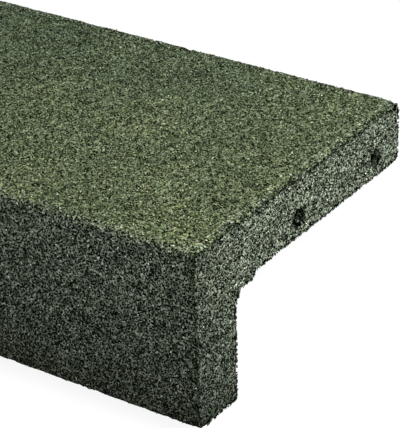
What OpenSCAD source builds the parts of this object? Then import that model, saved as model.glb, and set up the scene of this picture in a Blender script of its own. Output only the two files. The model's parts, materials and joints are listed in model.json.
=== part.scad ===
// Rubber lawn edging: one L-shaped block, moulded in one piece from bonded rubber granules.
// The slab lies over a kerb or border and the leg hangs down in front of it. Blind dowel holes
// in both ends line one block up with the next. The section is drawn as it is laid, with the
// front face upright, and the finished block is then leaned back to the way it lies unheld on
// a level floor: on the rear edge of its foot and on the lower rear edge of its slab.
// Millimetres. X runs along the length, +Z is up, and the origin is on the floor at mid length.

/* [Block] */
// Length of one block
block_length = 1000; // [300:10:2000]
// Depth from the front face to the rear edge of the slab
block_depth = 290; // [240:1:450]
// Height from the foot of the leg to the top face
block_height = 150; // [125:1:200]

/* [Walls] */
// Thickness of the slab
slab_thickness = 52; // [40:0.5:70]
// Thickness of the leg just under the haunch
leg_thickness = 51; // [38:0.5:60]
// Mould draft of the leg's inner face, which thins the leg towards its foot, in degrees
leg_draft = 1; // [0:0.1:3]

/* [Haunch] */
// How far the haunch runs back along the slab's underside
haunch_reach = 28; // [20:0.5:40]
// How far the haunch runs down the leg's inner face
haunch_drop = 18; // [17:0.5:30]
// How deep the haunch stands below the slab's underside
haunch_depth = 5.5; // [3:0.5:7]
// How far the haunch stands back from the leg's inner face
haunch_width = 3; // [1:0.5:4]
// Bevel across the haunch's inner corner
haunch_bevel = 4.5; // [2:0.5:5]

/* [Edges] */
// Radius of the front and rear edges of the top face
top_edge_radius = 3; // [2:0.5:10]
// Radius of the lower rear edge of the slab
rear_edge_radius = 6; // [2:0.5:10]
// Radius of the front and rear edges of the foot
foot_edge_radius = 1.5; // [1:0.5:10]

/* [Dowel holes] */
// Diameter of each dowel hole
bore_diameter = 14; // [10:0.5:22]
// Depth of each dowel hole
bore_depth = 50; // [20:1:80]
// Height of the holes' axes above the slab's underside
bore_rise = 16; // [14:0.5:22]
// Distance from the rear edge to the axis of the rear hole
bore_inset = 36; // [25:1:60]
// Distance between the axes of the two holes in one end
bore_spacing = 116; // [40:1:130]

/* [Hidden] */
$fn = 96;
// Cutters reach this far past the face that they cut.
overcut = 1;

underside_z = block_height - slab_thickness;
haunch_foot_z = underside_z - haunch_drop;
foot_thickness = leg_thickness - haunch_foot_z * tan(leg_draft);

// The section's corners as it is laid, counterclockwise from the front of the foot:
// [y, z, radius]. A radius of 0 leaves the corner sharp.
corners = [
    [0, 0, foot_edge_radius],
    [foot_thickness, 0, foot_edge_radius],
    [leg_thickness, haunch_foot_z, 0],
    [leg_thickness + haunch_width, haunch_foot_z + haunch_width, 0],
    [leg_thickness + haunch_width, underside_z - haunch_depth - haunch_bevel, 0],
    [leg_thickness + haunch_width + haunch_bevel, underside_z - haunch_depth, 0],
    [leg_thickness + haunch_reach - haunch_depth, underside_z - haunch_depth, 0],
    [leg_thickness + haunch_reach, underside_z, 0],
    [block_depth, underside_z, rear_edge_radius],
    [block_depth, block_height, top_edge_radius],
    [0, block_height, top_edge_radius],
];
foot_rear_edge = 1;
slab_rear_edge = 8;

function at(i) = let (c = corners[(i + len(corners)) % len(corners)]) [c[0], c[1]];
function unit(v) = v / norm(v);
// Unit vectors from corner i towards the corners before and after it.
function back_way(i) = unit(at(i - 1) - at(i));
function on_way(i) = unit(at(i + 1) - at(i));
function half_angle(i) = acos(back_way(i) * on_way(i)) / 2;
// Where the rounding of corner i begins and ends, or the corner itself where it is sharp.
function corner_points(i) =
    let (r = corners[i][2], run = r / tan(half_angle(i)))
    r == 0 ? [at(i)] : [at(i) + run * back_way(i), at(i) + run * on_way(i)];
function round_centre(i) =
    at(i) + corners[i][2] / sin(half_angle(i)) * unit(back_way(i) + on_way(i));

rounded = [for (i = [0 : len(corners) - 1]) if (corners[i][2] > 0) i];

// The block leans back until the foot's rear rounding and the slab's rear rounding both touch
// the floor: their lowest points are then level.
between = round_centre(slab_rear_edge) - round_centre(foot_rear_edge);
lean = atan2(between[1], between[0])
    - asin((rear_edge_radius - foot_edge_radius) / norm(between));
function leaned(p) = [p[0] * cos(lean) + p[1] * sin(lean), p[1] * cos(lean) - p[0] * sin(lean)];
floor_z = leaned(round_centre(foot_rear_edge))[1] - foot_edge_radius;
front_y = min([for (i = rounded) leaned(round_centre(i))[0] - corners[i][2]]);
rear_y = max([for (i = rounded) leaned(round_centre(i))[0] + corners[i][2]]);

module section() {
    polygon([for (i = [0 : len(corners) - 1]) each corner_points(i)]);
    for (i = rounded)
        translate(round_centre(i)) circle(r = corners[i][2]);
}

// Both dowel holes of one end, sunk from the end face at +X.
module dowel_bores() {
    bore_z = underside_z + bore_rise;
    for (bore_y = [block_depth - bore_inset, block_depth - bore_inset - bore_spacing])
        translate([block_length / 2 - bore_depth, bore_y, bore_z])
            rotate([0, 90, 0])
                cylinder(d = bore_diameter, h = bore_depth + overcut);
}

// Swings the block, drawn as it is laid, back onto its two resting edges.
module as_it_rests() {
    translate([0, -(front_y + rear_y) / 2, -floor_z])
        rotate([-lean, 0, 0])
            children();
}

module edging_block() {
    color("#56634b")
        as_it_rests()
            difference() {
                rotate([90, 0, 90]) linear_extrude(height = block_length, center = true) section();
                dowel_bores();
                mirror([1, 0, 0]) dowel_bores();
            }
}

edging_block();
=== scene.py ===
"""Looks of a rubber lawn edging block, moulded in one piece from dark green bonded granules.

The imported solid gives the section, its lean at rest and the dowel bores. The body is one
closed mesh with the relief of pressed granules, and crusts of separate angular granules sit
in it. Lengths are in metres. Laid coordinates are (along, depth, height) of the block as it
is laid over a kerb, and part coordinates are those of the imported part, which leans at rest.
"""

import json
import logging
import math
from dataclasses import dataclass, field, fields
from enum import Enum

import bpy
import numpy as np
from mathutils import Matrix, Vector
from mathutils.geometry import delaunay_2d_cdt


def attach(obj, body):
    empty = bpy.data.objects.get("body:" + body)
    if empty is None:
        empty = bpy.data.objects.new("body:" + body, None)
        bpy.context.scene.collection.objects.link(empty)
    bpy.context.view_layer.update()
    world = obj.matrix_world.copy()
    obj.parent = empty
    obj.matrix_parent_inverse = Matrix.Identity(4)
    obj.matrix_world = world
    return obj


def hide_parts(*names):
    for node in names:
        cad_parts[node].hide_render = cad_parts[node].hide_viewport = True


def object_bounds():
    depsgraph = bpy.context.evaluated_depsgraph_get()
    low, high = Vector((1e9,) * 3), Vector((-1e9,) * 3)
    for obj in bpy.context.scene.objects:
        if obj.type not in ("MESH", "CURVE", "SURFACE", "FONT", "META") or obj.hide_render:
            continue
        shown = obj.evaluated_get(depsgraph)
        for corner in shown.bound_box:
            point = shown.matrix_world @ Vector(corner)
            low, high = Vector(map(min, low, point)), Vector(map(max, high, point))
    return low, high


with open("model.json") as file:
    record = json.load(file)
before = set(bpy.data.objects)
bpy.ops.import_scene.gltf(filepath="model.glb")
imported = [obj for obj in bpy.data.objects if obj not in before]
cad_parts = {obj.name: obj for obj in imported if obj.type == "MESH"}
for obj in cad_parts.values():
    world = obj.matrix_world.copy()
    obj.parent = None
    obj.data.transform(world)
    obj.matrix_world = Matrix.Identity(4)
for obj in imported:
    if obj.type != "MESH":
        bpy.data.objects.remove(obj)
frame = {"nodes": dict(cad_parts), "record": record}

CAD_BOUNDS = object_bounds()
NODE = "edging_block"
BODY = "root"
BAKE_MAP = "OFBake"
MM = 0.001
SHORT = 3.0 * MM  # an edge of the section shorter than this is part of a rounding
SKIN = 1.0 * MM  # how near an end or the front a place has to lie to count as on it
TOP_SKIN = 2.0 * MM  # how far under the top a place may lie and still count as on it
CLOSE = 1e-9  # nearer than this, two points count as one
JITTER = 0.32  # how far scattered points stray, as a share of their spacing
ALONG = np.array([1.0, 0.0, 0.0])

WHITE = (1.0, 1.0, 1.0, 1.0)
WHOLE = (0.0, 1.0)  # the range of a share
NOISE_SPAN = (0.3, 0.7)  # where most of a noise's values lie
DISPLAY_POWER = 2.2  # turns a shade as it is seen into the light that it sends out
MIX_INPUTS = (0, 6, 7)  # a Mix node's sockets for the share and the two colours
MIX_OUTPUT = 2  # and for the mixed colour

Colour = tuple[float, float, float]
Pair = tuple[float, float]
Socket = bpy.types.NodeSocket

log = logging.getLogger("edging")


class Face(Enum):
    """The faces round the block's section."""

    TOP = 0
    FRONT = 1
    FOOT = 2
    LEG_BACK = 3
    UNDERSIDE = 4
    REAR = 5


ROUGH = (Face.FOOT, Face.UNDERSIDE, Face.LEG_BACK, Face.REAR)


@dataclass(frozen=True)
class CellMap:
    """How a granule is laid out on its own cell of a bake map, a square of side 1."""

    middle: float
    rings: tuple[float, ...]
    foot: tuple[Pair, Pair, Pair]


FLAT_MAP = CellMap(0.5, (0.47, 0.3), ((0.5, 0.02), (0.54, 0.02), (0.52, 0.05)))
POINTED_MAP = CellMap(0.4, (0.38,), ((0.98, 0.3), (0.98, 0.98), (0.3, 0.98)))


class Cut(Enum):
    """The shapes of cut granules, with how many corners each has round its widest part."""

    SHARD = (3, False)
    WEDGE = (3, True)
    BLOCK = (4, True)

    def __init__(self, corners: int, flat_top: bool) -> None:
        """Notes the cut's corners and whether it has a flat top over its flat foot."""
        self.corners = corners
        self.flat_top = flat_top

    def triangles(self) -> np.ndarray:
        """Joins a granule's corners, its foot's corners numbered first.

        Returns:
            The triangles, each one's three corner numbers.
        """
        count = self.corners
        found = [(0, k + 1, k) for k in range(1, count - 1)]
        for k in range(count):
            on = (k + 1) % count
            if self.flat_top:
                found += [(k, on, count + on), (k, count + on, count + k)]
            else:
                found.append((k, on, count))
        if self.flat_top:
            found += [(count, count + k, count + k + 1) for k in range(1, count - 1)]
        return np.array(found)

    def sheet(self) -> np.ndarray:
        """Lays a granule's bake map out in a cell of side 1, its foot apart from the rest.

        Returns:
            The map's places for each triangle's three corners.
        """
        count = self.corners
        cell = FLAT_MAP if self.flat_top else POINTED_MAP
        turn = 2 * math.pi * np.arange(count) / count + math.pi / 4
        ring = np.stack([np.cos(turn), np.sin(turn)], 1)
        at = [cell.middle + reach * ring for reach in cell.rings]
        if not self.flat_top:
            at.append(np.full((1, 2), cell.middle))
        shape = self.triangles()
        under = (shape < count).all(1)[:, None, None]
        return np.where(under, np.array(cell.foot), np.concatenate(at)[shape])


def vertices_of(mesh: bpy.types.Mesh) -> np.ndarray:
    """Reads a mesh's vertices.

    Args:
        mesh: the mesh.

    Returns:
        The vertices, one row each.
    """
    places = np.empty(len(mesh.vertices) * 3)
    mesh.vertices.foreach_get("co", places)
    return places.reshape(-1, 3)


def unit(vectors: np.ndarray) -> np.ndarray:
    """Returns the vectors scaled to length 1."""
    return vectors / np.linalg.norm(vectors, axis=-1, keepdims=True)


def signed_area(outline: np.ndarray) -> float:
    """Returns a flat outline's area, positive if it runs counterclockwise."""
    after = np.roll(outline, -1, 0)
    return float((outline[:, 0] * after[:, 1] - after[:, 0] * outline[:, 1]).sum() / 2)


def boundary_loops(triangles: np.ndarray) -> list[list[int]]:
    """Walks round a patch of triangles.

    Args:
        triangles: vertex numbers, one row per triangle.

    Returns:
        The vertices of each open loop, in order.
    """
    sides = {(int(a), int(b)) for t in triangles for a, b in zip(t, np.roll(t, -1))}
    following = {a: b for a, b in sides if (b, a) not in sides}
    loops = []
    while following:
        start, here = following.popitem()
        loop = [start]
        while here != start:
            loop.append(here)
            here = following.pop(here)
        loops.append(loop)
    return loops


def inside(points: np.ndarray, outline: np.ndarray) -> np.ndarray:
    """Tells which points lie inside a closed outline.

    Args:
        points: flat points, one row each.
        outline: the outline's corners in order.

    Returns:
        True for each point inside.
    """
    found = np.zeros(len(points), bool)
    for a, b in zip(outline, np.roll(outline, -1, 0)):
        if a[1] == b[1]:
            continue
        crosses = (a[1] > points[:, 1]) != (b[1] > points[:, 1])
        reach = a[0] + (points[:, 1] - a[1]) * (b[0] - a[0]) / (b[1] - a[1])
        found ^= crosses & (points[:, 0] < reach)
    return found


def nearest_on(points: np.ndarray, outline: np.ndarray) -> tuple[np.ndarray, np.ndarray, np.ndarray]:
    """Finds the nearest place on a closed outline.

    Args:
        points: flat points, one row each.
        outline: the outline's corners in order.

    Returns:
        The distance, the nearest place and the number of its edge, for each point.
    """
    best = np.full(len(points), np.inf)
    place = np.zeros((len(points), 2))
    edge = np.zeros(len(points), int)
    for i, (a, b) in enumerate(zip(outline, np.roll(outline, -1, 0))):
        way = b - a
        share = ((points - a) @ way / (way @ way)).clip(0, 1)
        foot = a + share[:, None] * way
        gap = np.linalg.norm(points - foot, axis=1)
        nearer = gap < best
        best[nearer], place[nearer], edge[nearer] = gap[nearer], foot[nearer], i
    return best, place, edge


@dataclass(frozen=True)
class Drift:
    """A smooth random field with values of about -1 to 1.

    pitches is how many of its waves fit in a length of scale, at least and at most, and peak
    brings their sum to that range.
    """

    scale: float
    seed: int
    waves: int = 9
    pitches: Pair = (0.6, 1.7)
    peak: float = 1.4

    def at(self, points: np.ndarray) -> np.ndarray:
        """Works the field out.

        Args:
            points: where, one row each.

        Returns:
            The field's value at each point.
        """
        rng = np.random.default_rng(self.seed)
        ways = unit(rng.normal(size=(self.waves, points.shape[1])))
        pitch = rng.uniform(*self.pitches, self.waves) * 2 * math.pi / self.scale
        phase = rng.uniform(0, 2 * math.pi, self.waves)
        waves = np.sin(points @ (ways * pitch[:, None]).T + phase)
        return waves.sum(1) / math.sqrt(self.waves) / self.peak


@dataclass(frozen=True)
class RestPose:
    """How the laid block is turned and placed at rest."""

    corner: np.ndarray
    back: np.ndarray
    up: np.ndarray

    @classmethod
    def from_frame(cls, mesh: bpy.types.Mesh, mounts: dict[str, dict]) -> "RestPose":
        """Reads the lean from two flat mounts.

        Args:
            mesh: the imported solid's mesh.
            mounts: the record's mounts by name.

        Returns:
            The pose whose laid corner is at the front of the foot.
        """
        back = unit(np.array(mounts["rear_face"]["axis"], float))
        up = -unit(np.array(mounts["slab_underside"]["axis"], float))
        points = vertices_of(mesh)
        corner = back * (points @ back).min() + up * (points @ up).min()
        return cls(corner, back, up)

    def to_laid(self, points: np.ndarray) -> np.ndarray:
        """Returns points of the part in laid coordinates."""
        moved = points - self.corner
        return np.stack([moved[:, 0], moved @ self.back, moved @ self.up], 1)

    def turn(self, vectors: np.ndarray) -> np.ndarray:
        """Returns laid directions as directions in part coordinates."""
        return vectors @ np.stack([ALONG, self.back, self.up])

    def to_part(self, points: np.ndarray) -> np.ndarray:
        """Returns laid points in part coordinates."""
        return self.corner + self.turn(points)


@dataclass(frozen=True)
class Bore:
    """A blind dowel hole in one end, in laid coordinates."""

    side: int
    centre: np.ndarray
    radius: float
    depth: float


@dataclass
class Section:
    """The block's section as it is laid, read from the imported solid.

    give is how far each corner may sink without folding its rounding over, most_give where
    there is no rounding. coarse tells which edges' granules stand proud, by up to proud.
    """

    outline: np.ndarray
    half_length: float
    bores: list[Bore]
    length: np.ndarray = field(init=False)
    edge: np.ndarray = field(init=False)
    normal: np.ndarray = field(init=False)
    corner_normal: np.ndarray = field(init=False)
    face: np.ndarray = field(init=False)
    run: np.ndarray = field(init=False)
    rounded: list[tuple[int, int]] = field(init=False)
    corners: np.ndarray = field(init=False)
    give: np.ndarray = field(init=False)
    coarse: np.ndarray = field(init=False)
    most_give: float = 5.0 * MM
    give_share: float = 0.6
    proud: float = 1.5 * MM

    def __post_init__(self) -> None:
        """Works out the edges' directions, normals and faces, and finds the roundings."""
        way = np.roll(self.outline, -1, 0) - self.outline
        self.length = np.linalg.norm(way, axis=1)
        self.edge = unit(way)
        self.normal = np.stack([self.edge[:, 1], -self.edge[:, 0]], 1)
        self.corner_normal = unit(self.normal + np.roll(self.normal, 1, 0))
        self.run = np.concatenate([[0.0], np.cumsum(self.length)])
        middles = self.outline + way / 2
        self.face = np.array([self.face_of(m, n).value for m, n in zip(middles, self.normal)])
        short = self.length < SHORT
        total = len(short)
        self.coarse = np.isin(self.face, [face.value for face in ROUGH])
        self.rounded = []
        self.give = np.full(total, self.most_give)
        for start in np.flatnonzero(short & ~np.roll(short, 1)):
            count = 1
            while short[(start + count) % total]:
                count += 1
            self.rounded.append((start, count))
            arc = np.arange(start, start + count) % total
            after = (start + count) % total
            turn = math.acos(float(self.normal[start - 1] @ self.normal[after]))
            self.give[np.append(arc, after)] = self.give_share * self.length[arc].sum() / turn
            self.coarse[arc] |= self.coarse[start - 1] | self.coarse[after]
        middle_edges = [(start + count // 2) % total for start, count in self.rounded]
        self.corners = middles[middle_edges]

    @classmethod
    def from_frame(
        cls, mesh: bpy.types.Mesh, pose: RestPose, mounts: dict[str, dict]
    ) -> "Section":
        """Reads the outline from the solid's right end and the bores from their mounts.

        Args:
            mesh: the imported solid's mesh.
            pose: the block's pose at rest.
            mounts: the record's mounts by name.

        Returns:
            The section, counterclockwise with depth to the right and height up.
        """
        closeness = 0.01 * MM
        laid = pose.to_laid(vertices_of(mesh))
        half = float(laid[:, 0].max())
        rounded = np.round(laid / closeness).astype(int)
        _, first, same = np.unique(rounded, axis=0, return_index=True, return_inverse=True)
        laid = laid[first]
        mesh.calc_loop_triangles()
        triangles = np.array([t.vertices for t in mesh.loop_triangles])
        triangles = same.ravel()[triangles]
        at_end = (laid[triangles][:, :, 0] > half - closeness).all(1)
        loops = [laid[loop][:, 1:] for loop in boundary_loops(triangles[at_end])]
        outline = max(loops, key=lambda loop: abs(signed_area(loop)))
        if signed_area(outline) < 0:
            outline = outline[::-1]
        bores = []
        for mount in mounts.values():
            if mount["kind"] == "bore":
                centre = pose.to_laid(np.array([mount["pos_m"]]))[0, 1:]
                sizes = mount["dims"]
                side = round(mount["axis"][0])
                bores.append(Bore(side, centre, sizes["r_mm"] * MM, sizes["length_mm"] * MM))
        return cls(outline, half, bores)

    @property
    def depth(self) -> float:
        """Depth from the front face to the rear edge."""
        return float(self.outline[:, 0].max())

    @property
    def height(self) -> float:
        """Height from the foot to the top face."""
        return float(self.outline[:, 1].max())

    def face_of(self, middle: np.ndarray, normal: np.ndarray) -> Face:
        """Names the face that an edge of the outline belongs to.

        Args:
            middle: the edge's middle.
            normal: its outward normal.

        Returns:
            The face, found from the way the edge looks and which side of the block it is on.
        """
        if abs(normal[1]) > abs(normal[0]):
            if normal[1] > 0:
                return Face.TOP
            return Face.FOOT if middle[1] < self.height / 4 else Face.UNDERSIDE
        if normal[0] < 0:
            return Face.FRONT
        return Face.REAR if middle[0] > self.depth / 2 else Face.LEG_BACK

    def from_edge(self, laid: np.ndarray) -> np.ndarray:
        """Works out how far places on the surface are from the block's nearest edge.

        Args:
            laid: the places.

        Returns:
            The distances.
        """
        to_end = self.half_length - np.abs(laid[:, 0])
        flat = laid[:, 1:]
        to_rim = np.maximum(to_end, nearest_on(flat, self.outline)[0])
        away = np.linalg.norm(flat[:, None] - self.corners, axis=2).min(1)
        return np.minimum(to_rim, away)

    def at(self, run: np.ndarray) -> tuple[np.ndarray, np.ndarray, np.ndarray]:
        """Finds places along the outline.

        Args:
            run: distances along the outline from its first corner.

        Returns:
            The places, their outward normals and the numbers of their edges.
        """
        edge = (np.searchsorted(self.run, run, side="right") - 1).clip(0, len(self.length) - 1)
        share = ((run - self.run[edge]) / self.length[edge])[:, None]
        place = self.outline[edge] + (run - self.run[edge])[:, None] * self.edge[edge]
        after = (edge + 1) % len(self.outline)
        bent = self.corner_normal[edge] * (1 - share) + self.corner_normal[after] * share
        flat = (self.length[edge] > SHORT)[:, None]
        return place, unit(np.where(flat, self.normal[edge], bent)), edge

    def confine(self, laid: np.ndarray) -> np.ndarray:
        """Moves any point that stands too far out of the block back towards its surface.

        Args:
            laid: points in laid coordinates.

        Returns:
            The points, which stand a little proud of the rough faces and of no other.
        """
        held = laid.copy()
        held[:, 0] = held[:, 0].clip(-self.half_length, self.half_length)
        out = np.flatnonzero(~inside(held[:, 1:], self.outline))
        gap, place, edge = nearest_on(held[out, 1:], self.outline)
        most = np.where(self.rough(edge), self.proud, 0.0)
        share = np.minimum(1.0, most / gap.clip(CLOSE, None))[:, None]
        held[out, 1:] = place + share * (held[out, 1:] - place)
        return held

    def rough(self, edge: np.ndarray) -> np.ndarray:
        """Tells which of the numbered edges belong to surfaces whose granules stand proud."""
        return self.coarse[edge]


@dataclass(frozen=True)
class EndEdge:
    """How the edge round an end is worn: rounded everywhere, with a groove under the top.

    The groove runs along the end, deepest just under the top's edge. It wanders, breaks off
    in places and fades out before the rear edge, and painted shade darkens it. The scuff bands
    beside the ends and behind the front are paler, and painted shade darkens the rims beyond
    them, places near the ground and an end's rough edges, and the front beside the ends.
    """

    section: Section
    top_radius: float = 6.0 * MM
    radius: float = 1.2 * MM
    rim_stand: float = 1.2 * MM
    edge_stand: float = 0.3 * MM
    groove_top: float = -3.0 * MM
    groove_width: float = 8.4 * MM
    groove_depth: float = 2.0 * MM
    groove_share: float = 0.8
    groove_swing: float = 1.1
    groove_end: float = 16.0 * MM
    groove_fade: float = 0.4
    groove_wander: float = 1.0 * MM
    groove_power: float = 0.7
    bend: Drift = Drift(24 * MM, 72)
    breaks: Drift = Drift(12 * MM, 71)
    # painted shade in the groove under the top's edge
    grime: float = 0.55
    grime_reach: float = 3.0 * MM
    scuff: float = 0.68
    scuff_start: float = 2.0 * MM
    scuff_width: float = 8.5 * MM
    scuff_gain: float = 1.6
    scuff_share: float = 0.65
    scuff_swing: float = 0.6
    patches: Drift = Drift(14 * MM, 73)
    front_scuff: float = 0.12
    front_start: float = 2.0 * MM
    upright_scuff: float = 0.7
    upright_drop: float = 7.0 * MM
    # painted shade on the top's rounded rims at the ends, the front and the rear
    rim_reach: float = 5.0 * MM
    front_rim: float = 0.2
    rear_rim: float = 0.7
    # painted shade near the ground and near an end's rough edges
    low_shade: float = 0.5
    low_reach: float = 2.5 * MM
    # painted shade on the front beside the ends
    beside_shade: float = 0.5
    beside_reach: float = 14.0 * MM

    def radius_at(self, face: np.ndarray) -> np.ndarray:
        """Returns the rounding's radius where an end meets each face."""
        return np.where(face == Face.TOP.value, self.top_radius, self.radius)

    def rim_drop(self, edge: np.ndarray) -> np.ndarray:
        """Works out how far the granules round an end's rim sit in from its sharp corner.

        Args:
            edge: the numbers of the section's edges that they sit beside.

        Returns:
            The distances, less than nothing where they stand proud.
        """
        on_top = self.section.face[edge] == Face.TOP.value
        stand = np.where(self.section.rough(edge), -self.rim_stand, 0.0)
        return np.where(on_top, (math.sqrt(2) - 1) * self.top_radius, stand)

    def drop(self, reach: np.ndarray, radius: np.ndarray) -> np.ndarray:
        """Works out how far a rounded surface lies below the flat one.

        Args:
            reach: distances from the sharp edge.
            radius: the rounding's radius.

        Returns:
            The drops, no more than at the rounding's middle.
        """
        most = radius * (1 - math.sqrt(0.5))
        short = (radius - reach).clip(0, None)
        return np.minimum(radius - np.sqrt((radius**2 - short**2).clip(0, None)), most)

    def wear(self, flat: np.ndarray) -> tuple[np.ndarray, np.ndarray]:
        """Works out how far an end face is worn.

        Args:
            flat: places on the end face.

        Returns:
            How far the rounding and the broken groove sink each place.
        """
        gap, _, edge = nearest_on(flat, self.section.outline)
        rounding = self.drop(gap, self.radius_at(self.section.face[edge]))
        return rounding, self.groove_at(flat)

    def groove_at(self, flat: np.ndarray) -> np.ndarray:
        """Works out how deep the broken groove under an end's top edge is.

        Args:
            flat: places on the end face.

        Returns:
            The depths.
        """
        wander = self.groove_wander * self.bend.at(flat[:, :1])
        across = (self.section.height - flat[:, 1] - self.groove_top - wander) / self.groove_width
        bowl = np.sin(math.pi * across.clip(0, 1)) ** self.groove_power
        broken = self.groove_share + self.groove_swing * self.breaks.at(flat[:, :1])
        broken = broken * self.before_rear(self.section.depth - flat[:, 0])
        return self.groove_depth * bowl * broken.clip(0, 1)

    def before_rear(self, rear: np.ndarray) -> np.ndarray:
        """Returns how full the groove is at distances from the rear edge, from 0 to 1."""
        return (rear / self.groove_end - self.groove_fade).clip(0, 1)

    def scuffed(self, laid: np.ndarray) -> np.ndarray:
        """Works out how much the block is worn paler, and darkened by painted shade, near its edges.

        Args:
            laid: places on the block.

        Returns:
            What is added to each place's tone, less than nothing where it is darker.
        """
        reach = self.section.half_length - np.abs(laid[:, 0])
        front = laid[:, 1]
        rear = self.section.depth - front
        below = self.section.height - laid[:, 2]
        upright = self.upright_scuff * (1 - below / self.upright_drop).clip(0, 1) * (reach > SKIN)
        # the pale scuff bands, with the painted shade on the top's rims
        worn = self.scuff * np.where(below < TOP_SKIN, self.top_scuff(laid, reach, rear), upright)
        # painted shade in the groove under the top's edge, on the end face only
        across = ((below - self.groove_top) / self.groove_width).clip(0, 1)
        shade_in_groove = self.grime * np.sin(math.pi * across) * (reach < self.grime_reach)
        shade_in_groove = shade_in_groove * self.before_rear(rear)
        # painted shade near the ground and near an end's rough edges
        low = self.low_share(laid, reach)
        # painted shade on the front beside the ends
        beside = (front < SKIN) * (1 - reach / self.beside_reach).clip(0, 1)
        return worn - shade_in_groove - self.low_shade * low - self.beside_shade * beside

    def top_scuff(self, laid: np.ndarray, reach: np.ndarray, rear: np.ndarray) -> np.ndarray:
        """Works out how worn the top is and how painted shade darkens its rims.

        Args:
            laid: places on the top.
            reach: their distances from the nearer end.
            rear: their distances from the rear edge.

        Returns:
            Shares, less than nothing on the rims that painted shade darkens.
        """
        front = laid[:, 1]
        patchy = self.scuff_share + self.scuff_swing * self.patches.at(laid[:, :2])
        beside_end = self.band(reach) * patchy.clip(0, 1)
        behind_front = self.front_scuff * self.band(front - self.front_start)
        # painted shade on the top's rims
        front_rim = self.front_rim * (1 - front / self.rim_reach)
        rim = np.maximum(1 - reach / self.rim_reach, front_rim).clip(0, 1)
        rim = np.maximum(rim, self.rear_rim * (1 - rear / self.rim_reach))
        return np.maximum(beside_end, behind_front) - rim

    def band(self, reach: np.ndarray) -> np.ndarray:
        """Returns how strongly places a distance from an edge lie in its scuffed band."""
        across = ((reach - self.scuff_start) / self.scuff_width).clip(0, 1)
        return (self.scuff_gain * np.sin(math.pi * across)).clip(0, 1)

    def low_share(self, laid: np.ndarray, reach: np.ndarray) -> np.ndarray:
        """Works out how near places lie to the ground or, on an end, to a rough edge.

        Args:
            laid: places on the block.
            reach: their distances from the nearer end.

        Returns:
            Shares of painted shade, 1 at the ground and at the edges.
        """
        gap, _, edge = nearest_on(laid[:, 1:], self.section.outline)
        rim = self.section.rough(edge) * (reach < SKIN) * (1 - gap / self.low_reach).clip(0, 1)
        return np.maximum(rim, (1 - laid[:, 2] / self.low_reach).clip(0, 1))


@dataclass(frozen=True)
class Chips:
    """Where crumbs have come away along the block's edges.

    share shifts how much of an edge is chipped, and bare is how wide a strip beside the edges
    the faces' own granules leave to those of the edges.
    """

    section: Section
    depth: float = 3.0 * MM
    size: float = 6.0 * MM
    reach: float = 4.0 * MM
    share: float = -0.1
    bare: float = 1.2 * MM
    seed: int = 74
    corner_depth: float = 2.2 * MM
    corner_reach: float = 9.0 * MM
    corner_gain: float = 1.3

    def at(self, laid: np.ndarray) -> np.ndarray:
        """Works out how far the chips sink each place on the block.

        Args:
            laid: places on the block.

        Returns:
            The depths.
        """
        near = (1 - self.section.from_edge(laid) / self.reach).clip(0, 1)
        lost = (Drift(self.size, self.seed).at(laid) + self.share).clip(0, 1)
        return self.depth * near * lost + self.corner_depth * self.at_corner(laid)

    def at_corner(self, laid: np.ndarray) -> np.ndarray:
        """Works out how worn the top's rear corners and the foot's front corners are.

        Args:
            laid: places on the block.

        Returns:
            A share for each place, 1 at the corners.
        """
        folded = np.column_stack([np.abs(laid[:, 0]), laid[:, 1:]])
        rear = (self.section.half_length, self.section.depth, self.section.height)
        front = (self.section.half_length, 0.0, 0.0)
        away = np.minimum(*(np.linalg.norm(folded - corner, axis=1) for corner in (rear, front)))
        return (self.corner_gain * (1 - away / self.corner_reach)).clip(0, 1)


@dataclass(frozen=True)
class Crown:
    """How the top face's colour gives way to the sides' colour near its edges.

    It is lost within bare of the rear corners, and some spills down the front and the rear.
    """

    section: Section
    at_edge: float = 0.4
    fade: float = 9.0 * MM
    spill: float = 8.0 * MM
    bare: float = 8.0 * MM

    def draw(self, rng: np.random.Generator, laid: np.ndarray) -> np.ndarray:
        """Chooses which granules have the top face's colour.

        Args:
            rng: the source of chance.
            laid: the granules' places.

        Returns:
            1 for those that have it and 0 for the others.
        """
        below = self.section.height - laid[:, 2]
        end = self.section.half_length - np.abs(laid[:, 0])
        rear = self.section.depth - laid[:, 1]
        edge = np.minimum(np.minimum(laid[:, 1], rear), end)
        edge = np.minimum(edge, np.hypot(end, rear) - self.bare)
        on_top = self.at_edge + (1 - self.at_edge) * (edge / self.fade).clip(-1, 1)
        spilled = self.at_edge * (1 - below / self.spill) * (end > SKIN)
        share = np.where(below < TOP_SKIN, on_top, spilled)
        return (rng.random(len(laid)) < share).astype(float)


@dataclass(frozen=True)
class Relief:
    """How deep the granules of a face lie under the moulded surface."""

    least: float
    spread: float
    power: float

    def draw(self, rng: np.random.Generator, count: int) -> np.ndarray:
        """Returns random depths, mostly shallow with a few deep pits."""
        return self.least + self.spread * rng.random(count) ** self.power


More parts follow.
